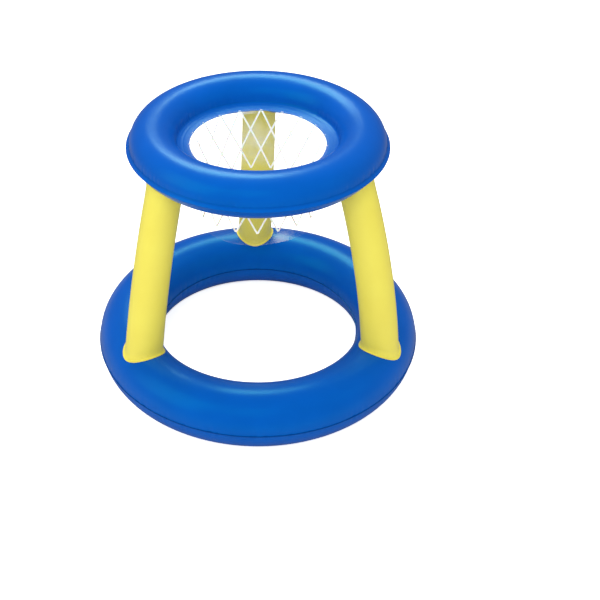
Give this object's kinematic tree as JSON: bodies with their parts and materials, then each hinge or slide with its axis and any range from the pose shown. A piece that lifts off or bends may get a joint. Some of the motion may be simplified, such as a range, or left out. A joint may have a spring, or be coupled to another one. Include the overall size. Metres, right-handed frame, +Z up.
{
  "type": "floating basketball hoop",
  "caption": "Inflated floating basketball hoop: a round base ring, slanting tube legs, a smaller top ring with a clear net skirt, and plugged inflation valves.",
  "frame": {"origin": "on the floor, at the centre of the base ring, under the hoop", "axes": "+Z up through the hoop; +Y towards the back leg; +X to the right, seen from the front between the other two legs"},
  "size_m": [0.612, 0.612, 0.4994],
  "materials": {
    "blue_vinyl": "glossy moulded-flat PVC film, blue",
    "yellow_vinyl": "glossy PVC film, pale yellow",
    "clear_film": "clear glossy PVC film",
    "white_print": "opaque white print",
    "valve_vinyl": "soft moulded PVC, milky"
  },
  "bodies": {
    "hoop": {"base_ring_lower_skin": "blue_vinyl", "base_ring_upper_skin": "blue_vinyl", "top_ring_lower_skin": "blue_vinyl", "top_ring_upper_skin": "blue_vinyl", "back_leg": "yellow_vinyl", "left_leg": "yellow_vinyl", "right_leg": "yellow_vinyl", "net_skirt": "clear_film", "net_lattice": "white_print", "base_valve_collar": "valve_vinyl", "top_valve_collar": "valve_vinyl"},
    "base_stem": {"base_valve_stem": "valve_vinyl"},
    "base_plug": {"base_valve_plug": "valve_vinyl", "base_valve_strap": "valve_vinyl"},
    "base_flap": {"base_valve_flap": "valve_vinyl"},
    "top_stem": {"top_valve_stem": "valve_vinyl"},
    "top_plug": {"top_valve_plug": "valve_vinyl", "top_valve_strap": "valve_vinyl"},
    "top_flap": {"top_valve_flap": "valve_vinyl"}
  },
  "joints": [
    {"name": "base_stem_pull", "type": "slide", "parent": "hoop", "child": "base_stem", "axis": [0.3823, 0.7752, 0.5029], "range_m": [0, 0.011]},
    {"name": "base_plug_pull", "type": "slide", "parent": "base_stem", "child": "base_plug", "axis": [0.3823, 0.7752, 0.5029], "range_m": [0, 0.008]},
    {"name": "base_flap_swing", "type": "hinge", "parent": "base_stem", "child": "base_flap", "pos_m": [0.12375, 0.25094, 0.07994], "axis": [-0.8969, 0.4423, 0], "range_deg": [0, 50], "stiffness_Nm_per_rad": 0.0001, "springref_deg": -5.73},
    {"name": "top_stem_pull", "type": "slide", "parent": "hoop", "child": "top_stem", "axis": [-0.3725, 0.7553, 0.5392], "range_m": [0, 0.011]},
    {"name": "top_plug_pull", "type": "slide", "parent": "top_stem", "child": "top_plug", "axis": [-0.3725, 0.7553, 0.5392], "range_m": [0, 0.008]},
    {"name": "top_flap_swing", "type": "hinge", "parent": "top_stem", "child": "top_flap", "pos_m": [-0.08686, 0.17613, 0.47728], "axis": [-0.8969, -0.4423, 0], "range_deg": [0, 50], "stiffness_Nm_per_rad": 0.0001, "springref_deg": -5.73}
  ]
}
